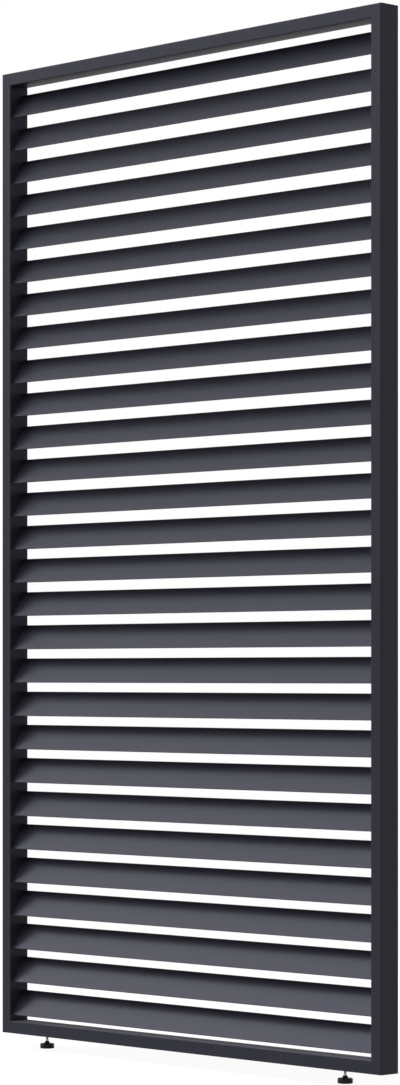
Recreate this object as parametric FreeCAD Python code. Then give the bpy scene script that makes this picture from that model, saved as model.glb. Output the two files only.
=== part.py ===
import FreeCAD, Part
import math
import os

Vector = FreeCAD.Vector

# Overall sizes of the screen's frame, in millimetres
panel_width = 1200.0
frame_height = 2200.0

# Frame extrusion: one hollow tube, mitred and used on all four sides
profile_face = 28.0
profile_depth = 53.0
profile_wall = 2.0
profile_corner_radius = 1.6
profile_bore_radius = 0.6
mitre_gap = 0.1

# Slats: teardrop blades with a round rear nose above and a thin front lip below
slat_count = 28
slat_width = 67.5
slat_tilt = 54.0
slat_nose_diameter = 7.0
slat_lip_thickness = 2.4
slat_wall = 1.3
slat_cavity_tip_radius = 0.5
slat_top_gap = 17.9
slat_bottom_gap = 13.4
slat_slot_clearance = 0.25
slat_end_clearance = 0.4

# Corner cleats: L-shaped extruded keys inside the mitres, with two screw ports each
cleat_clearance = 0.2
cleat_depth_clearance = 0.5
cleat_slat_gap = 2.0
cleat_wall = 3.0
cleat_web = 3.0
cleat_port_block = 10.0
cleat_corner_chamfer = 3.0
cleat_window_radius = 1.2

# Corner screws: countersunk, driven into the cleats from the rear face
screw_shank_diameter = 3.9
screw_head_diameter = 7.2
screw_length = 16.0
screw_point = 2.5
screw_head_sink = 0.1
screw_clearance = 0.1

# Levelling feet: a threaded stud with a ball end that turns in a moulded pad
foot_inset = 127.0
stud_diameter = 5.9
stud_show = 12.4
stud_end_chamfer = 0.8
stud_top_gap = 1.0
stud_ball_shoulder = 1.55
stud_flat_height = 4.0
stud_flat_depth = 0.5
stud_flat_gap = 1.2
ball_clearance = 0.15
ball_floor = 2.6
throat_clearance = 0.35
pad_diameter = 32.0
pad_height = 10.8
pad_sole_radius = 0.8
pad_top_radius = 1.6
pad_rim = 2.4
pad_recess_height = 8.2
pad_rib_count = 6
pad_rib_thickness = 1.8
pad_boss_wall = 2.6
plug_clearance = 0.1
hub_height = 5.2
hub_base_diameter = 13.4
hub_wall = 1.3
hub_root_radius = 0.8
hub_rim_radius = 0.4

# Threaded inserts: rivet nuts clenched on the bottom rail's lower wall
insert_clearance = 0.1
insert_wall = 1.5
insert_flange_width = 1.2
insert_flange_thickness = 0.8
insert_bulb_width = 1.6
insert_bulb_height = 3.0
insert_length = 12.5
foot_stop_gap = 0.4

# Shared allowances
cut_overrun = 6.0
full_turn = 360.0

# Places worked out from the sizes above
frame_bottom = pad_height + hub_height + stud_show
frame_top = frame_bottom + frame_height
nose_radius = slat_nose_diameter / 2
lip_radius = slat_lip_thickness / 2
slat_span = slat_width - nose_radius - lip_radius
slat_rise = slat_span * math.sin(math.radians(slat_tilt)) + nose_radius + lip_radius
slat_field = frame_height - 2 * profile_face - slat_top_gap - slat_bottom_gap
slat_pitch = (slat_field - slat_rise) / (slat_count - 1)
slat_length = panel_width - 2 * profile_wall - 2 * slat_end_clearance
top_lip_height = frame_top - profile_face - slat_top_gap - slat_rise + lip_radius
cleat_leg = profile_face + min(slat_top_gap, slat_bottom_gap) - cleat_slat_gap
port_offset = cleat_leg - cleat_port_block / 2
stud_radius = stud_diameter / 2
insert_bore_radius = stud_radius + insert_clearance
insert_radius = insert_bore_radius + insert_wall
foot_retraction = stud_show - insert_flange_thickness - foot_stop_gap
stud_top = frame_bottom + profile_face - profile_wall - stud_top_gap - foot_retraction
ball_radius = stud_radius + stud_ball_shoulder
ball_height = ball_floor + ball_clearance + ball_radius


def outline(corners):
    """Closed wire through (point, radius) corners; a zero radius leaves the corner sharp."""
    turns = []
    for index, (corner, radius) in enumerate(corners):
        last = corners[index - 1][0]
        following = corners[(index + 1) % len(corners)][0]
        if radius == 0:
            turns.append((corner, None, corner))
            continue
        back = (last - corner).normalize()
        ahead = (following - corner).normalize()
        half_angle = back.getAngle(ahead) / 2
        setback = radius / math.tan(half_angle)
        crown = corner + (back + ahead).normalize() * (radius / math.sin(half_angle) - radius)
        turns.append((corner + back * setback, crown, corner + ahead * setback))
    edges = []
    for index, (start, crown, end) in enumerate(turns):
        if crown is not None:
            edges.append(Part.Arc(start, crown, end).toShape())
        edges.append(Part.LineSegment(end, turns[(index + 1) % len(turns)][0]).toShape())
    return Part.Wire(edges)


def sharp(points):
    """The points as corners without rounding."""
    return [(point, 0) for point in points]


def ring(outside, *insides):
    """Flat face inside one wire and outside the others."""
    return Part.makeFace([outside, *insides], "Part::FaceMakerBullseye")


def turned(corners):
    """Solid of revolution about Z from corners in the X-Z plane."""
    return Part.Face(outline(corners)).revolve(Vector(0, 0, 0), Vector(0, 0, 1), full_turn)


def moved(shape, x, y, z):
    """Copy of the shape, shifted."""
    copy = shape.copy()
    copy.translate(Vector(x, y, z))
    return copy


def rotated(shape, axis, degrees):
    """Copy of the shape, turned about an axis through the origin."""
    copy = shape.copy()
    copy.rotate(Vector(0, 0, 0), axis, degrees)
    return copy


# Frame members
def tube_wire(inset, radius):
    """Rounded rectangle of the extrusion, inset from its outer surface."""
    x = profile_face / 2 - inset
    y = profile_depth / 2 - inset
    points = [Vector(-x, -y), Vector(x, -y), Vector(x, y), Vector(-x, y)]
    return outline([(point, radius) for point in points])


def frame_member(length):
    """Mitred tube standing along Z, with its long outer side at +X."""
    section = ring(tube_wire(0, profile_corner_radius), tube_wire(profile_wall, profile_bore_radius))
    tube = section.extrude(Vector(0, 0, length))
    outer = profile_face / 2 + cut_overrun
    setback = mitre_gap / math.sqrt(2)
    outer_end = setback - cut_overrun
    inner_end = setback + profile_face + cut_overrun
    mitre = [
        Vector(outer, -profile_depth, outer_end),
        Vector(outer, -profile_depth, length - outer_end),
        Vector(-outer, -profile_depth, length - inner_end),
        Vector(-outer, -profile_depth, inner_end),
    ]
    return tube.common(Part.Face(outline(sharp(mitre))).extrude(Vector(0, 2 * profile_depth, 0)))


# Slats
def blade_point(along, across):
    """Point in the slat's section: along its centre line from the lip, and across towards its front face."""
    tilt = math.radians(slat_tilt)
    y = (along - slat_span / 2) * math.cos(tilt) - across * math.sin(tilt)
    z = along * math.sin(tilt) + across * math.cos(tilt)
    return Vector(0, y, z)


def teardrop(lip_along, lip_round, nose_round):
    """Closed wire round a small circle near the lip and a larger one at the nose."""
    lean = (nose_round - lip_round) / (slat_span - lip_along)
    lift = math.sqrt(1 - lean * lean)
    points = {}
    for side in (1, -1):
        points["lip", side] = blade_point(lip_along - lean * lip_round, side * lift * lip_round)
        points["nose", side] = blade_point(slat_span - lean * nose_round, side * lift * nose_round)
    return Part.Wire([
        Part.LineSegment(points["lip", 1], points["nose", 1]).toShape(),
        Part.Arc(points["nose", 1], blade_point(slat_span + nose_round, 0), points["nose", -1]).toShape(),
        Part.LineSegment(points["nose", -1], points["lip", -1]).toShape(),
        Part.Arc(points["lip", -1], blade_point(lip_along - lip_round, 0), points["lip", 1]).toShape(),
    ])


def slat_lip_heights():
    """Height of each slat's lip centre, from the top slat down."""
    return [top_lip_height - index * slat_pitch for index in range(slat_count)]


def slat():
    """Hollow blade at height zero, lying along X."""
    taper = (nose_radius - lip_radius) / slat_span
    cavity_start = (slat_wall + slat_cavity_tip_radius - lip_radius) / taper
    skin = teardrop(0, lip_radius, nose_radius)
    cavity = teardrop(cavity_start, slat_cavity_tip_radius, nose_radius - slat_wall)
    blade = ring(skin, cavity).extrude(Vector(slat_length, 0, 0))
    return moved(blade, -slat_length / 2, 0, 0)


def slot():
    """Punch for one slat's slot through a stile's inner wall, centred on X."""
    reach = profile_wall + 2 * cut_overrun
    wire = teardrop(0, lip_radius + slat_slot_clearance, nose_radius + slat_slot_clearance)
    return moved(Part.Face(wire).extrude(Vector(reach, 0, 0)), -reach / 2, 0, 0)


# Corner cleats and their screws
def corners():
    """Name, side and level of each frame corner; side and level are 1 or -1."""
    names = {1: "right", -1: "left"}
    levels = {1: "top", -1: "bottom"}
    return [(levels[level] + "_" + names[side], side, level) for level in levels for side in names]


def corner_point(side, level, along_rail, along_stile, y):
    """Point measured inwards from a frame corner, along its rail and along its stile."""
    z = frame_top - along_stile if level > 0 else frame_bottom + along_stile
    return Vector(side * (panel_width / 2 - along_rail), y, z)


def cleat(side, level):
    """L-shaped key with a window either side of its diagonal web and a screw port in each leg."""
    depth = profile_depth - 2 * profile_wall - 2 * cleat_depth_clearance
    near = profile_wall + cleat_clearance
    far = profile_face - profile_wall - cleat_clearance
    window_near = near + cleat_wall
    window_far = far - cleat_wall
    window_end = cleat_leg - cleat_port_block
    web_offset = cleat_web / math.sqrt(2)

    def wire(pairs, radius, swap):
        points = [(b, a) if swap else (a, b) for a, b in pairs]
        return outline([(corner_point(side, level, a, b, -depth / 2), radius) for a, b in points])

    skin = [
        (near + cleat_corner_chamfer, near), (cleat_leg, near), (cleat_leg, far), (far, far),
        (far, cleat_leg), (near, cleat_leg), (near, near + cleat_corner_chamfer),
    ]
    window = [
        (window_near + web_offset, window_near), (window_end, window_near),
        (window_end, window_far), (window_far + web_offset, window_far),
    ]
    windows = [wire(window, cleat_window_radius, swap) for swap in (False, True)]
    body = ring(wire(skin, 0, False), *windows).extrude(Vector(0, depth, 0))
    port_radius = screw_shank_diameter / 2 + screw_clearance
    return body.cut([cylinder_from_rear(place, port_radius) for place in screw_places(side, level)])


def screw_places(side, level):
    """Points on the rear face over the two screw ports of a corner."""
    rear = profile_depth / 2
    middle = profile_face / 2
    return [
        corner_point(side, level, port_offset, middle, rear),
        corner_point(side, level, middle, port_offset, rear),
    ]


def cylinder_from_rear(place, radius):
    """Cutting cylinder that runs forwards from the rear face through the cleat."""
    return Part.makeCylinder(radius, profile_depth - profile_wall, place, Vector(0, -1, 0))


def screw(place, growth):
    """Countersunk screw with its head at the rear face; growth widens it into a cutter for its hole."""
    shank = screw_shank_diameter / 2 + growth
    head = screw_head_diameter / 2 + growth
    top = -screw_head_sink
    cone = head - shank
    profile = [
        Vector(0, 0, top), Vector(head, 0, top), Vector(shank, 0, top - cone),
        Vector(shank, 0, screw_point - screw_length), Vector(0, 0, -screw_length),
    ]
    if growth > 0:
        profile[0:2] = [Vector(0, 0, cut_overrun), Vector(head, 0, cut_overrun), Vector(head, 0, top)]
    body = rotated(turned(sharp(profile)), Vector(1, 0, 0), -full_turn / 4)
    return moved(body, place.x, place.y, place.z)


# Levelling feet
def insert():
    """Rivet nut about the Z axis, with its flange under the bottom rail and its bulb clenched inside."""
    flange = frame_bottom - insert_flange_thickness
    inside = frame_bottom + profile_wall
    clenched = inside + insert_bulb_height
    top = frame_bottom + insert_length
    flange_radius = insert_radius + insert_flange_width
    bulb_radius = insert_radius + insert_bulb_width
    return turned(sharp([
        Vector(insert_bore_radius, 0, flange), Vector(flange_radius, 0, flange),
        Vector(flange_radius, 0, frame_bottom), Vector(insert_radius, 0, frame_bottom),
        Vector(insert_radius, 0, inside), Vector(bulb_radius, 0, inside),
        Vector(insert_radius, 0, clenched), Vector(insert_radius, 0, top),
        Vector(insert_bore_radius, 0, top),
    ]))


def stud():
    """Stud about the Z axis: threaded rod, spanner flats above the pad and a ball end below."""
    rod_height = stud_top - ball_height
    rod = Part.makeCylinder(stud_radius, rod_height, Vector(0, 0, ball_height))
    top_edge = [edge for edge in rod.Edges if edge.BoundBox.ZMin > ball_height + rod_height / 2]
    rod = rod.makeChamfer(stud_end_chamfer, [edge for edge in top_edge if edge.Closed])
    body = rod.fuse(Part.makeSphere(ball_radius, Vector(0, 0, ball_height))).removeSplitter()
    flat_bottom = pad_height + hub_height + stud_flat_gap
    flat_place = stud_radius - stud_flat_depth
    for side in (1, -1):
        start = Vector(flat_place if side > 0 else -flat_place - stud_radius, -stud_diameter / 2, flat_bottom)
        body = body.cut(Part.makeBox(stud_radius, stud_diameter, stud_flat_height, start))
    return body


def pad():
    """Moulded pad about the Z axis: coned hub, ball socket, and a rubber plug between each two ribs."""
    pad_radius = pad_diameter / 2
    hub_top = pad_height + hub_height
    throat_radius = stud_radius + throat_clearance
    hub_radius = throat_radius + hub_wall
    body = turned([
        (Vector(0, 0, 0), 0), (Vector(pad_radius, 0, 0), pad_sole_radius),
        (Vector(pad_radius, 0, pad_height), pad_top_radius),
        (Vector(hub_base_diameter / 2, 0, pad_height), hub_root_radius),
        (Vector(hub_radius, 0, hub_top), hub_rim_radius), (Vector(0, 0, hub_top), 0),
    ])
    socket_radius = ball_radius + ball_clearance
    boss_radius = socket_radius + pad_boss_wall
    recess_radius = pad_radius - pad_rim
    recess = Part.makeCylinder(recess_radius, pad_recess_height).cut(
        Part.makeCylinder(boss_radius, pad_recess_height))
    plug_radius = (recess_radius - boss_radius) / 2 - plug_clearance
    plug_place = Vector((recess_radius + boss_radius) / 2, 0, 0)
    plug = Part.makeCylinder(plug_radius, pad_recess_height - plug_clearance, plug_place)
    rib_step = full_turn / pad_rib_count
    ribs = []
    plugs = []
    for index in range(pad_rib_count):
        start = Vector(0, -pad_rib_thickness / 2, 0)
        rib = Part.makeBox(pad_radius, pad_rib_thickness, pad_recess_height, start)
        ribs.append(rotated(rib, Vector(0, 0, 1), index * rib_step))
        plugs.append(rotated(plug, Vector(0, 0, 1), index * rib_step + rib_step / 2))
    socket = Part.makeSphere(socket_radius, Vector(0, 0, ball_height))
    throat = Part.makeCylinder(throat_radius, hub_top + cut_overrun - ball_height, Vector(0, 0, ball_height))
    return Part.makeCompound([body.cut([recess.cut(ribs), socket.fuse(throat)]), *plugs])


def insert_hole(x):
    """Cutter for the rivet nut's hole in the bottom rail's lower wall."""
    start = Vector(x, 0, frame_bottom - cut_overrun)
    return Part.makeCylinder(insert_radius + insert_clearance, profile_wall + 2 * cut_overrun, start)


# The whole assembly
def build():
    """Every piece of the screen by its name."""
    foot_x = panel_width / 2 - foot_inset
    stile_x = panel_width / 2 - profile_face / 2
    wall_x = panel_width / 2 - profile_face + profile_wall / 2
    upright = frame_member(frame_height)
    level_member = frame_member(panel_width)
    members = {
        "right_stile": moved(upright, stile_x, 0, frame_bottom),
        "left_stile": moved(rotated(upright, Vector(0, 0, 1), full_turn / 2), -stile_x, 0, frame_bottom),
        "top_rail": moved(rotated(level_member, Vector(0, 1, 0), -full_turn / 4),
                          panel_width / 2, 0, frame_top - profile_face / 2),
        "bottom_rail": moved(rotated(level_member, Vector(0, 1, 0), full_turn / 4),
                             -panel_width / 2, 0, frame_bottom + profile_face / 2),
    }
    cutters = {name: [] for name in members}
    pieces = {}

    blade = slat()
    punch = slot()
    for index, height in enumerate(slat_lip_heights()):
        pieces[f"slat_{index + 1:02d}"] = moved(blade, 0, 0, height)
        cutters["right_stile"].append(moved(punch, wall_x, 0, height))
        cutters["left_stile"].append(moved(punch, -wall_x, 0, height))

    screws = []
    for name, side, level in corners():
        pieces["corner_cleat_" + name] = cleat(side, level)
        rail_place, stile_place = screw_places(side, level)
        rail = "top_rail" if level > 0 else "bottom_rail"
        stile = "right_stile" if side > 0 else "left_stile"
        cutters[rail].append(screw(rail_place, screw_clearance))
        cutters[stile].append(screw(stile_place, screw_clearance))
        screws += [screw(rail_place, 0), screw(stile_place, 0)]
    pieces["corner_screws"] = Part.makeCompound(screws)

    for name, x in (("left", -foot_x), ("right", foot_x)):
        pieces["foot_insert_" + name] = moved(insert(), x, 0, 0)
        pieces["foot_stud_" + name] = moved(stud(), x, 0, 0)
        pieces["foot_pad_" + name] = moved(pad(), x, 0, 0)
        cutters["bottom_rail"].append(insert_hole(x))

    for name, member in members.items():
        pieces[name] = member.cut(cutters[name])
    return pieces


def main():
    """Write each piece to its own file."""
    os.makedirs("parts", exist_ok=True)
    for name, shape in build().items():
        shape.exportStep(f"parts/{name}.step")
        print(f"{name}: {len(shape.Solids)} solid(s), {shape.Volume:.1f} mm3, valid {shape.isValid()}")
    print(f"slat pitch {slat_pitch:.3f}, rise {slat_rise:.3f}, foot retraction {foot_retraction:.3f}")


main()
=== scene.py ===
"""Looks of a louvred pergola screen panel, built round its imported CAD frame."""
import logging
import math
from dataclasses import dataclass, field
from enum import Enum, IntEnum

import bpy
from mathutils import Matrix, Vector


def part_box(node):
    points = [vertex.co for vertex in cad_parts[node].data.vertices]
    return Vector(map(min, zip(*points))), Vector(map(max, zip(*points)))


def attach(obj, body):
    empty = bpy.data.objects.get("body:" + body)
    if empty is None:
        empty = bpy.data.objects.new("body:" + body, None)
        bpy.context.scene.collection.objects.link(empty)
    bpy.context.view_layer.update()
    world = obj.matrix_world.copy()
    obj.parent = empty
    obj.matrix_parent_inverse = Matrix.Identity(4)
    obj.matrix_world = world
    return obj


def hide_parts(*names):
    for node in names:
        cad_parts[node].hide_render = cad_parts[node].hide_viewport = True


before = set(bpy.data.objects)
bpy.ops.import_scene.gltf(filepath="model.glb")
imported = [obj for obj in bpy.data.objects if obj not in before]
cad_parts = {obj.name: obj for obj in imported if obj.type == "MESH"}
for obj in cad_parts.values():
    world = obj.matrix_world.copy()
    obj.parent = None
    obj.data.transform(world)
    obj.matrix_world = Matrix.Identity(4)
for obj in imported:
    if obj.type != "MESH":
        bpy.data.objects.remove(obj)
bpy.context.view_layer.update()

log = logging.getLogger("screen_panel")

Colour = tuple[float, float, float, float]
Point = tuple[float, float, float]
MM = 0.001
FULL_TURN = 2 * math.pi
EVEN: Point = (1.0, 1.0, 1.0)
WHITE: Colour = (1.0, 1.0, 1.0, 1.0)


class MixSocket(IntEnum):
    """Sockets of a colour Mix node, which shares its names among several types."""

    FACTOR = 0
    FIRST = 6
    SECOND = 7
    RESULT = 2


class Side(Enum):
    """The two feet, by the sign of their place along X."""

    LEFT = -1
    RIGHT = 1

    @property
    def label(self) -> str:
        """Lower-case word used in the names of nodes and bodies."""
        return self.name.lower()


# Shader expressions
class Term:
    """A node's output that takes part in arithmetic, where each operation adds a Math node."""

    def __init__(self, tree: "ShaderTree", socket: bpy.types.NodeSocket) -> None:
        """Keep the tree and the socket."""
        self.tree = tree
        self.socket = socket

    def _math(self, operation: str, left: "Term | float", right: "Term | float") -> "Term":
        """Add a Math node.

        Args:
            operation: The node's operation.
            left: First operand.
            right: Second operand.

        Returns:
            The node's result.
        """
        return self.tree.term("ShaderNodeMath", {"operation": operation}, {0: left, 1: right})

    def __add__(self, other: "Term | float") -> "Term":
        """Sum."""
        return self._math("ADD", self, other)

    def __radd__(self, other: "Term | float") -> "Term":
        """Reflected sum."""
        return self._math("ADD", other, self)

    def __sub__(self, other: "Term | float") -> "Term":
        """Difference."""
        return self._math("SUBTRACT", self, other)

    def __rsub__(self, other: "Term | float") -> "Term":
        """Reflected difference."""
        return self._math("SUBTRACT", other, self)

    def __mul__(self, other: "Term | float") -> "Term":
        """Product."""
        return self._math("MULTIPLY", self, other)

    def __rmul__(self, other: "Term | float") -> "Term":
        """Reflected product."""
        return self._math("MULTIPLY", other, self)


class ShaderTree:
    """A node tree with one method that makes nodes."""

    def __init__(self, node_tree: bpy.types.NodeTree) -> None:
        """Empty the tree and keep it."""
        self.tree = node_tree
        self.tree.nodes.clear()

    def node(self, kind: str, settings: dict | None = None,
             sockets: dict | None = None) -> bpy.types.Node:
        """Make one node.

        Args:
            kind: The node's type name.
            settings: Attributes to set first.
            sockets: Values or links by socket name or index.

        Returns:
            The new node.
        """
        made = self.tree.nodes.new(kind)
        for name, value in (settings or {}).items():
            setattr(made, name, value)
        for key, value in (sockets or {}).items():
            if isinstance(value, Term):
                self.tree.links.new(value.socket, made.inputs[key])
            else:
                made.inputs[key].default_value = value
        return made

    def term(self, kind: str, settings: dict | None = None, sockets: dict | None = None,
             output: str | int = 0) -> Term:
        """Make one node and wrap one of its outputs.

        Args:
            kind: The node's type name.
            settings: Attributes to set first.
            sockets: Values or links by socket name or index.
            output: Name or index of the output.

        Returns:
            The wrapped output.
        """
        return Term(self, self.node(kind, settings, sockets).outputs[output])

    def noise(self, place: Term, period: float, detail: float = 3.0,
              roughness: float = 0.55) -> Term:
        """Noise of about the given period.

        Args:
            place: Coordinates in metres.
            period: Size of one lump in metres.
            detail: Number of finer octaves.
            roughness: Share that each octave keeps.

        Returns:
            Noise from 0 to 1.
        """
        return self.term(
            "ShaderNodeTexNoise", {"noise_dimensions": "3D"},
            {"Vector": place, "Scale": 1 / period, "Detail": detail, "Roughness": roughness})

    def blend(self, share: Term, first: Term | Colour, second: Term | Colour) -> Term:
        """Mix two colours.

        Args:
            share: Share of the second colour.
            first: Colour at share 0.
            second: Colour at share 1.

        Returns:
            The mixed colour.
        """
        return self.term(
            "ShaderNodeMix", {"data_type": "RGBA", "clamp_factor": True},
            {MixSocket.FACTOR: share, MixSocket.FIRST: first, MixSocket.SECOND: second},
            MixSocket.RESULT)

    def fade(self, value: Term, low: float, high: float) -> Term:
        """Smooth step.

        Args:
            value: What is compared.
            low: Value that gives 0.
            high: Value that gives 1.

        Returns:
            A share from 0 to 1.
        """
        return self.term("ShaderNodeMapRange", {"interpolation_type": "SMOOTHSTEP"},
                         {"Value": value, "From Min": low, "From Max": high})

    def place(self, stretch: Point = EVEN) -> Term:
        """Coordinates on the piece in metres.

        Args:
            stretch: Factors along X, Y and Z; a small one draws a texture out along that axis.

        Returns:
            The coordinates.
        """
        spot = self.term("ShaderNodeTexCoord", output="Object")
        if stretch == EVEN:
            return spot
        return self.term("ShaderNodeVectorMath", {"operation": "MULTIPLY"}, {0: spot, 1: stretch})

    def facing(self) -> Term:
        """The surface's own direction."""
        return self.term("ShaderNodeNewGeometry", output="Normal")

    def upward(self, vector: Term) -> Term:
        """Part of a vector along Z."""
        return self.term("ShaderNodeSeparateXYZ", sockets={"Vector": vector}, output="Z")

    def surface(self, sockets: dict, height: Term, relief: float, firmness: float) -> None:
        """Finish the tree with a Principled shader.

        Args:
            sockets: Values or links of the shader.
            height: Relief from 0 to 1.
            relief: Depth of the relief in metres.
            firmness: Strength of the relief.
        """
        bump = self.term("ShaderNodeBump", sockets={
            "Height": height, "Distance": relief, "Strength": firmness})
        shader = self.term("ShaderNodeBsdfPrincipled", sockets={**sockets, "Normal": bump})
        self.node("ShaderNodeOutputMaterial", sockets={"Surface": shader})


# Finishes
@dataclass(frozen=True)
class Finish:
    """A named finish that makes its own material."""

    name: str

    def material(self) -> bpy.types.Material:
        """Make the material, unless it was made before.

        Returns:
            The finish's material.
        """
        known = bpy.data.materials.get(self.name)
        if known is not None:
            return known
        made = bpy.data.materials.new(self.name)
        made.use_nodes = True
        self.paint(ShaderTree(made.node_tree))
        return made

    def paint(self, tree: ShaderTree) -> None:
        """Lay out the material's nodes.

        Args:
            tree: The material's empty tree.
        """
        raise NotImplementedError


@dataclass(frozen=True)
class PowderCoat(Finish):
    """Satin powder coat with fine grain and faint orange peel.

    Level faces gather dust on top; underneath they are drier, and their bluer tone is painted
    shade.
    """

    colour: Colour
    pale: Colour
    dust: Colour
    # Painted shade: the bluer colour laid on the down-facing faces.
    painted_under_shade: Colour
    grain: float = 0.7 * MM
    grain_roughness: float = 0.6
    peel: float = 5.0 * MM
    peel_detail: float = 1.0
    patch: float = 0.45
    mottle: float = 0.5
    level_from: float = 0.8
    level_full: float = 0.95
    dust_grain: float = 0.3
    dust_from: float = 0.5
    dust_full: float = 0.9
    dust_cover: float = 0.25
    roughness: float = 0.26
    grain_dulling: float = 0.05
    patch_dulling: float = 0.03
    under_dulling: float = 0.20
    dust_dulling: float = 0.50
    specular: float = 0.14
    sheen_tint: Colour = (0.74, 0.735, 1.0, 1.0)
    grain_relief: float = 0.65
    peel_relief: float = 0.35
    relief: float = 0.05 * MM
    firmness: float = 0.3

    def paint(self, tree: ShaderTree) -> None:
        """Lay out the coat's nodes.

        Args:
            tree: The material's empty tree.
        """
        spot = tree.place()
        grain = tree.noise(spot, self.grain, roughness=self.grain_roughness)
        peel = tree.noise(spot, self.peel, detail=self.peel_detail)
        patch = tree.noise(spot, self.patch)
        up = tree.upward(tree.facing())
        top = tree.fade(up, self.level_from, self.level_full)
        under = tree.fade(0 - up, self.level_from, self.level_full)
        settled = top * tree.fade(patch + self.dust_grain * grain, self.dust_from, self.dust_full)
        tone = tree.blend(patch * self.mottle + grain * (1 - self.mottle), self.colour, self.pale)
        # Painted shade: down-facing faces blend towards a bluer colour.
        coat = tree.blend(under, tone, self.painted_under_shade)
        tree.surface(
            {
                "Base Color": tree.blend(settled * self.dust_cover, coat, self.dust),
                "Roughness": (self.roughness + self.grain_dulling * grain
                              + self.patch_dulling * patch + self.under_dulling * under
                              + self.dust_dulling * top),
                "Specular IOR Level": self.specular,
                "Specular Tint": self.sheen_tint,
            },
            grain * self.grain_relief + peel * self.peel_relief, self.relief, self.firmness)


@dataclass(frozen=True)
class ZincPlate(Finish):
    """Bright zinc on steel, with drawn marks round the piece and a thin yellow passivation."""

    bright: Colour = (0.34, 0.34, 0.33, 1.0)
    dull: Colour = (0.22, 0.22, 0.215, 1.0)
    tint: Colour = (0.31, 0.305, 0.26, 1.0)
    mark: float = 0.25 * MM
    drawn: Point = (0.15, 0.15, 1.0)
    cloud: float = 2.5 * MM
    cloud_share: float = 0.6
    mark_share: float = 0.4
    tint_from: float = 0.55
    tint_full: float = 0.75
    tint_cover: float = 0.5
    roughness: float = 0.26
    dulling: float = 0.12
    relief: float = 0.01 * MM
    firmness: float = 0.3

    def paint(self, tree: ShaderTree) -> None:
        """Lay out the plating's nodes.

        Args:
            tree: The material's empty tree.
        """
        marks = tree.noise(tree.place(self.drawn), self.mark)
        cloud = tree.noise(tree.place(), self.cloud)
        tone = tree.blend(cloud * self.cloud_share + marks * self.mark_share,
                          self.dull, self.bright)
        tinted = tree.fade(cloud, self.tint_from, self.tint_full) * self.tint_cover
        tree.surface(
            {
                "Base Color": tree.blend(tinted, tone, self.tint),
                "Roughness": self.roughness + self.dulling * marks + self.dulling * cloud,
                "Metallic": 1.0,
            },
            marks, self.relief, self.firmness)


@dataclass(frozen=True)
class MillAluminium(Finish):
    """Bare extrusion: die lines along the depth and sawn, slightly oxidised faces."""

    bright: Colour = (0.62, 0.63, 0.64, 1.0)
    dull: Colour = (0.45, 0.46, 0.47, 1.0)
    line: float = 0.5 * MM
    line_detail: float = 2.0
    extruded: Point = (1.0, 0.02, 1.0)
    cloud: float = 8.0 * MM
    line_share: float = 0.6
    cloud_share: float = 0.4
    roughness: float = 0.3
    line_dulling: float = 0.2
    cloud_dulling: float = 0.1
    relief: float = 0.02 * MM
    firmness: float = 0.4

    def paint(self, tree: ShaderTree) -> None:
        """Lay out the extrusion's nodes.

        Args:
            tree: The material's empty tree.
        """
        lines = tree.noise(tree.place(self.extruded), self.line, detail=self.line_detail)
        cloud = tree.noise(tree.place(), self.cloud)
        tree.surface(
            {
                "Base Color": tree.blend(lines * self.line_share + cloud * self.cloud_share,
                                         self.dull, self.bright),
                "Roughness": (self.roughness + self.line_dulling * lines
                              + self.cloud_dulling * cloud),
                "Metallic": 1.0,
            },
            lines, self.relief, self.firmness)


@dataclass(frozen=True)
class BlackScrewSteel(Finish):
    """Black passivated steel, rubbed a little brighter in specks."""

    colour: Colour = (0.030, 0.030, 0.033, 1.0)
    rubbed: Colour = (0.16, 0.16, 0.165, 1.0)
    speck: float = 0.4 * MM
    speck_roughness: float = 0.65
    rub_from: float = 0.58
    rub_full: float = 0.8
    rub_cover: float = 0.5
    roughness: float = 0.42
    rub_polish: float = 0.1
    speck_dulling: float = 0.1
    metal: float = 0.75
    rub_metal: float = 0.2
    relief: float = 0.015 * MM
    firmness: float = 0.3

    def paint(self, tree: ShaderTree) -> None:
        """Lay out the steel's nodes.

        Args:
            tree: The material's empty tree.
        """
        speck = tree.noise(tree.place(), self.speck, roughness=self.speck_roughness)
        rub = tree.fade(speck, self.rub_from, self.rub_full)
        tree.surface(
            {
                "Base Color": tree.blend(rub * self.rub_cover, self.colour, self.rubbed),
                "Roughness": self.roughness - self.rub_polish * rub + self.speck_dulling * speck,
                "Metallic": self.metal + self.rub_metal * rub,
            },
            speck, self.relief, self.firmness)


@dataclass(frozen=True)
class MouldedPlastic(Finish):
    """Black polyamide with a fine spark texture and scuffs near the floor."""

    colour: Colour = (0.004, 0.004, 0.0043, 1.0)
    worn: Colour = (0.013, 0.013, 0.0135, 1.0)
    spark: float = 0.35 * MM
    spark_detail: float = 2.0
    spark_roughness: float = 0.6
    cloud: float = 4.0 * MM
    scuff_height: float = 4.0 * MM
    scuff_from: float = 0.45
    scuff_full: float = 0.7
    scuff_cover: float = 0.7
    spark_cover: float = 0.15
    roughness: float = 0.45
    spark_dulling: float = 0.12
    scuff_dulling: float = 0.15
    specular: float = 0.14
    relief: float = 0.03 * MM
    firmness: float = 0.35

    def paint(self, tree: ShaderTree) -> None:
        """Lay out the plastic's nodes.

        Args:
            tree: The material's empty tree.
        """
        spot = tree.place()
        spark = tree.noise(spot, self.spark, self.spark_detail, self.spark_roughness)
        cloud = tree.noise(spot, self.cloud)
        low = 1 - tree.fade(tree.upward(spot), 0.0, self.scuff_height)
        scuff = low * tree.fade(cloud, self.scuff_from, self.scuff_full)
        tree.surface(
            {
                "Base Color": tree.blend(scuff * self.scuff_cover + spark * self.spark_cover,
                                         self.colour, self.worn),
                "Roughness": (self.roughness + self.spark_dulling * spark
                              + self.scuff_dulling * scuff),
                "Specular IOR Level": self.specular,
            },
            spark, self.relief, self.firmness)


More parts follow.
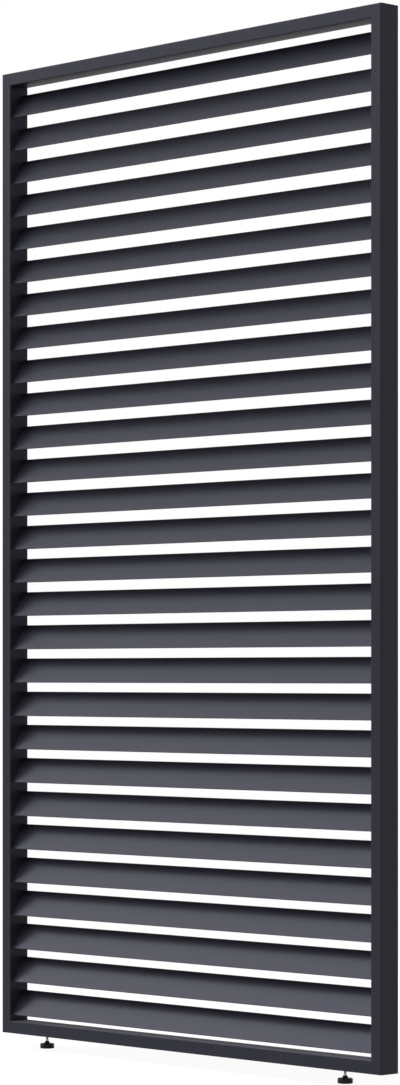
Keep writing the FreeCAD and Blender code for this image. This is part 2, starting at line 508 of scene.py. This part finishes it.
ANTHRACITE = PowderCoat(
    "anthracite_powder_coat",
    colour=(0.0166, 0.0172, 0.0240, 1.0),
    pale=(0.0196, 0.0203, 0.0282, 1.0),
    dust=(0.026, 0.026, 0.031, 1.0),
    # Painted shade: the bluer colour of the down-facing faces.
    painted_under_shade=(0.0166, 0.0172, 0.0340, 1.0))
ZINC = ZincPlate("bright_zinc_plate")
MILL = MillAluminium("mill_aluminium")
SCREW_BLACK = BlackScrewSteel("black_screw_steel")
PAD_BLACK = MouldedPlastic("black_moulded_polyamide")


# Building blocks
def dress_node(name: str, finish: Finish) -> bpy.types.Object:
    """Give a CAD node its finish.

    Args:
        name: The node.
        finish: What it is coated with or made of.

    Returns:
        The node's object.
    """
    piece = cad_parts[name]
    piece.data.materials.clear()
    piece.data.materials.append(finish.material())
    return piece


def smooth_mesh(name: str, points: list[Point], faces: list[tuple[int, ...]],
                sharp_from: float) -> bpy.types.Mesh:
    """Mesh with smooth faces and sharp edges.

    Args:
        name: The mesh's name.
        points: Its points.
        faces: Its faces, as numbers of points.
        sharp_from: Angle in radians from which an edge stays sharp.

    Returns:
        The mesh.
    """
    mesh = bpy.data.meshes.new(name)
    mesh.from_pydata(points, [], faces)
    mesh.update()
    mesh.shade_smooth()
    mesh.set_sharp_from_angle(angle=sharp_from)
    return mesh


def turned_skin(rings: list[list[Vector]]) -> tuple[list[Vector], list[tuple[int, ...]]]:
    """Closed skin through rings of equal length, with a cap at each end.

    Args:
        rings: Rings of points in order from one end to the other.

    Returns:
        The skin's points, and its faces as numbers of points.
    """
    count = len(rings[0])
    points = [point for ring in rings for point in ring]
    first, last = len(points), len(points) + 1
    points += [sum(rings[0], Vector()) / count, sum(rings[-1], Vector()) / count]
    faces = []
    for row in range(len(rings) - 1):
        for step in range(count):
            near, far = row * count + step, row * count + (step + 1) % count
            faces.append((near, far, far + count, near + count))
    top = (len(rings) - 1) * count
    for step in range(count):
        following = (step + 1) % count
        faces.append((first, following, step))
        faces.append((last, top + step, top + following))
    return points, faces


def new_piece(mesh: bpy.types.Mesh, finish: Finish, body: str,
              replaced: str) -> bpy.types.Object:
    """Put a mesh in the scene in place of a CAD node.

    Args:
        mesh: The piece's mesh, in the frame's coordinates.
        finish: What it is made of.
        body: The CAD body it rides on.
        replaced: The CAD node it stands for.

    Returns:
        The new object.
    """
    piece = bpy.data.objects.new(mesh.name, mesh)
    bpy.context.scene.collection.objects.link(piece)
    mesh.materials.append(finish.material())
    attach(piece, body)
    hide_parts(replaced)
    return piece


# Sub-assemblies
@dataclass
class TubeFrame:
    """The four mitred tubes."""

    members: tuple[str, ...] = ("left_stile", "right_stile", "top_rail", "bottom_rail")
    finish: Finish = ANTHRACITE

    def build(self) -> list[bpy.types.Object]:
        """Coat the tubes and return them."""
        return [dress_node(name, self.finish) for name in self.members]


@dataclass
class SlatBank:
    """The fixed sloping slats."""

    count: int = 28
    finish: Finish = ANTHRACITE

    def build(self) -> list[bpy.types.Object]:
        """Coat the slats and return them."""
        return [dress_node(f"slat_{index + 1:02d}", self.finish) for index in range(self.count)]


@dataclass
class CornerFixings:
    """Cleats inside the mitres and the countersunk screws that hold them from the rear."""

    corners: tuple[str, ...] = ("top_left", "top_right", "bottom_left", "bottom_right")
    tube_middle: float = 14.0 * MM
    port_offset: float = 34.4 * MM
    head_radius: float = 3.6 * MM
    head_edge: float = 0.2 * MM
    shank_radius: float = 1.95 * MM
    length: float = 16.0 * MM
    point: float = 2.5 * MM
    tip_radius: float = 0.3 * MM
    recess_radius: float = 1.5 * MM
    recess_lobe: float = 0.22 * MM
    recess_depth: float = 1.7 * MM
    recess_floor: float = 0.55
    recess_foot: float = 0.92
    recess_neck: float = 0.97
    recess_mouth: float = 1.03
    lobes: int = 6
    steps: int = 48
    sharp_from: float = math.radians(35)

    def build(self) -> list[bpy.types.Object]:
        """Finish the cleats, model the screws and return them all."""
        cleats = [dress_node("corner_cleat_" + corner, MILL) for corner in self.corners]
        return [*cleats, self._screws()]

    def _places(self) -> list[Vector]:
        """Find where the screws go.

        Returns:
            The middle of each screw's head, on the plane of the heads.
        """
        low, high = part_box("left_stile")[0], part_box("right_stile")[1]
        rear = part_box("corner_screws")[1].y
        ports = ((self.port_offset, self.tube_middle), (self.tube_middle, self.port_offset))
        places = []
        for side, edge in ((1, low.x), (-1, high.x)):
            for level, end in ((1, low.z), (-1, high.z)):
                for along, up in ports:
                    places.append(Vector((edge + side * along, rear, end + level * up)))
        return places

    def _lobed(self, scale: float, depth: float) -> list[Vector]:
        """Outline of the six-lobed recess.

        Args:
            scale: Share of its full width.
            depth: How far below the head's face.

        Returns:
            Points about the screw's axis, which is Y.
        """
        ring = []
        for step in range(self.steps):
            angle = step * FULL_TURN / self.steps
            lobe = self.recess_lobe * math.cos(self.lobes * angle)
            reach = scale * (self.recess_radius + lobe)
            ring.append(Vector((reach * math.cos(angle), -depth, reach * math.sin(angle))))
        return ring

    def _round(self, radius: float, depth: float) -> list[Vector]:
        """Circle about the screw's axis.

        Args:
            radius: Its radius.
            depth: How far below the head's face.

        Returns:
            Points of the circle.
        """
        angles = [step * FULL_TURN / self.steps for step in range(self.steps)]
        return [Vector((radius * math.cos(a), -depth, radius * math.sin(a))) for a in angles]

    def _screws(self) -> bpy.types.Object:
        """Model all the screws as one piece.

        Returns:
            The screws.
        """
        edge = self.head_edge
        cone = self.head_radius - self.shank_radius
        skin, skin_faces = turned_skin([
            self._lobed(self.recess_floor, self.recess_depth),
            self._lobed(self.recess_foot, self.recess_depth - edge),
            self._lobed(self.recess_neck, edge),
            self._lobed(self.recess_mouth, 0.0),
            self._round(self.head_radius - edge, 0.0),
            self._round(self.head_radius, edge),
            self._round(self.shank_radius, cone + edge),
            self._round(self.shank_radius, self.length - self.point),
            self._round(self.tip_radius, self.length),
        ])
        points, faces = [], []
        for place in self._places():
            start = len(points)
            points += [tuple(point + place) for point in skin]
            faces += [tuple(start + index for index in face) for face in skin_faces]
        mesh = smooth_mesh("lobed_corner_screws", points, faces, self.sharp_from)
        return new_piece(mesh, SCREW_BLACK, "frame", "corner_screws")


@dataclass
class LevellingFoot:
    """One foot: a rivet nut, a threaded stud with a ball end, and a moulded pad."""

    side: Side
    inset: float = 473.0 * MM
    stud_radius: float = 2.95 * MM
    stud_top: float = 42.2 * MM
    end_chamfer: float = 0.8 * MM
    ball_radius: float = 4.5 * MM
    ball_height: float = 7.25 * MM
    ball_rows: int = 12
    flat_bottom: float = 17.2 * MM
    flat_top: float = 21.2 * MM
    flat_place: float = 2.45 * MM
    pitch: float = 1.0 * MM
    thread_depth: float = 0.58 * MM
    thread_gap: float = 0.4 * MM
    crest: float = 0.14
    flank: float = 0.62
    steps: int = 40
    rows_per_turn: int = 10
    sharp_from: float = math.radians(50)

    def build(self) -> list[bpy.types.Object]:
        """Finish the CAD pieces, model the stud and return them all.

        Returns:
            The pad, the rivet nut and the stud.
        """
        pad = dress_node("foot_pad_" + self.side.label, PAD_BLACK)
        nut = dress_node("foot_insert_" + self.side.label, ZINC)
        return [pad, nut, self._stud()]

    def _ring(self, height: float, radius: float, flats: bool = False,
              depth: float = 0.0) -> list[Vector]:
        """One ring of the stud.

        Args:
            height: Height above the floor.
            radius: Radius of the ring.
            flats: Whether the spanner flats cut it.
            depth: Depth of the thread's groove here.

        Returns:
            Points of the ring.
        """
        middle = self.side.value * self.inset
        ring = []
        for step in range(self.steps):
            turn = step / self.steps
            angle = turn * FULL_TURN
            reach = radius - depth * self._groove(height / self.pitch - turn)
            if flats and abs(math.cos(angle)) * reach > self.flat_place:
                reach = self.flat_place / abs(math.cos(angle))
            ring.append(Vector((
                middle + reach * math.cos(angle), reach * math.sin(angle), height)))
        return ring

    def _groove(self, phase: float) -> float:
        """Share of the thread's depth at a phase of its pitch, with a flat crest and root."""
        rise = abs(phase - math.floor(phase) - 0.5) * 2
        return min(1.0, max(0.0, (rise - self.crest) / self.flank))

    def _ball_rings(self) -> list[list[Vector]]:
        """Round the ball end.

        Returns:
            Rings from the bottom of the ball to where the stud leaves it.
        """
        meets = math.sqrt(self.ball_radius ** 2 - self.stud_radius ** 2)
        quarter = math.pi / 2
        sweep = math.asin(meets / self.ball_radius) + quarter
        rings = []
        for step in range(1, self.ball_rows + 1):
            angle = -quarter + step * sweep / self.ball_rows
            rings.append(self._ring(self.ball_height + self.ball_radius * math.sin(angle),
                                    self.ball_radius * math.cos(angle)))
        return rings

    def _thread_rings(self) -> list[list[Vector]]:
        """Cut the thread, which starts shallow above the flats.

        Returns:
            Rings from the flats to the chamfered end.
        """
        start = self.flat_top + self.thread_gap
        end = self.stud_top - self.end_chamfer
        rows = round((end - start) / self.pitch * self.rows_per_turn)
        rings = []
        for row in range(rows + 1):
            depth = self.thread_depth * min(1.0, row / self.rows_per_turn)
            height = start + row * (end - start) / rows
            rings.append(self._ring(height, self.stud_radius, depth=depth))
        return [*rings, self._ring(self.stud_top, self.stud_radius - self.end_chamfer)]

    def _stud(self) -> bpy.types.Object:
        """Model the threaded stud with its ball end and spanner flats.

        Returns:
            The stud.
        """
        flats = [
            self._ring(self.flat_bottom, self.stud_radius),
            self._ring(self.flat_bottom, self.stud_radius, True),
            self._ring(self.flat_top, self.stud_radius, True),
            self._ring(self.flat_top, self.stud_radius),
        ]
        points, faces = turned_skin([*self._ball_rings(), *flats, *self._thread_rings()])
        word = self.side.label
        mesh = smooth_mesh("threaded_stud_" + word, [tuple(point) for point in points], faces,
                           self.sharp_from)
        return new_piece(mesh, ZINC, word + "_stud", "foot_stud_" + word)


# Studio
@dataclass(frozen=True)
class Softlight:
    """A wide, soft source far away, so that it lights the whole panel alike."""

    name: str
    azimuth: float
    elevation: float
    spread: float
    strength: float
    distance: float = 6.0

    def build(self) -> bpy.types.Object:
        """Put the light in the scene.

        Returns:
            The light.
        """
        data = bpy.data.lights.new(self.name, "SUN")
        data.energy = self.strength
        data.angle = math.radians(self.spread)
        light = bpy.data.objects.new(self.name, data)
        bpy.context.scene.collection.objects.link(light)
        turn, lift = math.radians(self.azimuth), math.radians(self.elevation)
        level = math.cos(lift)
        source = Vector((math.sin(turn) * level, -math.cos(turn) * level, math.sin(lift)))
        light.rotation_euler = source.to_track_quat("Z", "Y").to_euler()
        light.location = source * self.distance
        return light


@dataclass
class Studio:
    """White floor and surround, soft lights and the level camera."""

    ambient: float = 0.02
    floor_half: float = 40.0
    floor_drop: float = 7.7 * MM
    floor_bounce: Colour = (0.45, 0.45, 0.45, 1.0)
    floor_catch: Colour = (0.12, 0.12, 0.12, 1.0)
    floor_glow: float = 0.90
    shade_near: float = 1.2
    shade_far: float = 3.5
    lights: tuple[Softlight, ...] = field(default_factory=lambda: (
        Softlight("left_key", -48.0, 33.0, 28.0, 1.10),
        Softlight("left_wash", -45.0, 32.0, 50.0, 1.10),
        Softlight("top_right", 20.0, 62.0, 60.0, 2.40),
        Softlight("right_side", 60.0, 42.0, 50.0, 0.25),
        Softlight("rear_fill", -168.0, 32.0, 40.0, 2.0),
        Softlight("rear_low", -170.0, 5.0, 40.0, 0.9),
    ))
    camera_place: Point = (5.57492, -5.24131, 0.85102)
    camera_turn: float = 46.59595
    camera_lens: float = 116.51613
    camera_sensor: float = 36.0
    camera_rise: float = 0.121404
    camera_reach: float = 200.0

    def build(self) -> None:
        """Put everything but the panel in the scene."""
        scene = bpy.context.scene
        scene.view_settings.view_transform = "Standard"
        self._world(scene)
        self._floor(scene)
        self._camera(scene)
        for light in self.lights:
            light.build()

    @staticmethod
    def _shown(tree: ShaderTree) -> Term:
        """Pick out the rays that see the white surround.

        Args:
            tree: The tree that asks.

        Returns:
            1 for a ray straight from the camera, mirrored or through glass, and otherwise 0.
        """
        path = tree.node("ShaderNodeLightPath").outputs
        straight, mirrored, through = (
            Term(tree, path[f"Is {kind} Ray"]) for kind in ("Camera", "Glossy", "Transmission"))
        return tree.fade(straight + mirrored + through, 0.0, 1.0)

    def _world(self, scene: bpy.types.Scene) -> None:
        """White surround for the eye, and a plain soft light from all sides.

        Args:
            scene: The scene that gets the world.
        """
        world = bpy.data.worlds.new("white_surround")
        world.use_nodes = True
        tree = ShaderTree(world.node_tree)
        strength = self.ambient + (1 - self.ambient) * self._shown(tree)
        glow = tree.term("ShaderNodeBackground", sockets={"Color": WHITE, "Strength": strength})
        tree.node("ShaderNodeOutputWorld", sockets={"Surface": glow})
        scene.world = world

    def _floor(self, scene: bpy.types.Scene) -> None:
        """Pale floor that keeps the panel's shadow near it and runs into the surround further off.

        It lies just below the feet's furthest reach, so no pose sinks into it.

        Args:
            scene: The scene that gets the floor.
        """
        half, level = self.floor_half, -self.floor_drop
        corners = [(x * half, y * half, level) for x, y in ((-1, -1), (1, -1), (1, 1), (-1, 1))]
        mesh = bpy.data.meshes.new("studio_floor")
        mesh.from_pydata(corners, [], [(0, 1, 2, 3)])
        floor = bpy.data.objects.new("studio_floor", mesh)
        scene.collection.objects.link(floor)
        material = bpy.data.materials.new("pale_floor")
        material.use_nodes = True
        mesh.materials.append(material)
        self._paint_floor(ShaderTree(material.node_tree))

    def _paint_floor(self, tree: ShaderTree) -> None:
        """Lay out the floor's nodes.

        Args:
            tree: The material's empty tree.
        """
        reach = tree.term("ShaderNodeVectorMath", {"operation": "LENGTH"}, {0: tree.place()},
                          "Value")
        far = tree.fade(reach, self.shade_near, self.shade_far)
        bounce = tree.term("ShaderNodeBsdfDiffuse", sockets={"Color": self.floor_bounce})
        catch = tree.term("ShaderNodeAddShader", sockets={
            0: tree.term("ShaderNodeBsdfDiffuse", sockets={"Color": self.floor_catch}),
            1: tree.term("ShaderNodeEmission", sockets={"Strength": self.floor_glow})})
        white = tree.term("ShaderNodeEmission", sockets={"Strength": 1.0})
        seen = tree.term("ShaderNodeMixShader", sockets={"Fac": far, 1: catch, 2: white})
        surface = tree.term("ShaderNodeMixShader", sockets={
            "Fac": self._shown(tree), 1: bounce, 2: seen})
        tree.node("ShaderNodeOutputMaterial", sockets={"Surface": surface})

    def _camera(self, scene: bpy.types.Scene) -> None:
        """Level camera to the front right, with the horizon below the middle of the picture.

        Args:
            scene: The scene that gets the camera.
        """
        data = bpy.data.cameras.new("level_camera")
        data.lens = self.camera_lens
        data.sensor_width = self.camera_sensor
        data.shift_y = self.camera_rise
        data.clip_end = self.camera_reach
        camera = bpy.data.objects.new("level_camera", data)
        camera.location = self.camera_place
        camera.rotation_euler = (math.pi / 2, 0.0, math.radians(self.camera_turn))
        scene.collection.objects.link(camera)
        scene.camera = camera


def main() -> None:
    """Build the panel and its studio, and log each piece by name."""
    logging.basicConfig(level=logging.INFO, format="%(message)s")
    assemblies = [
        TubeFrame(), SlatBank(), CornerFixings(), LevellingFoot(Side.LEFT),
        LevellingFoot(Side.RIGHT),
    ]
    for assembly in assemblies:
        for piece in assembly.build():
            log.info("%s: %s", type(assembly).__name__, piece.name)
    Studio().build()


if __name__ == "__main__":
    main()
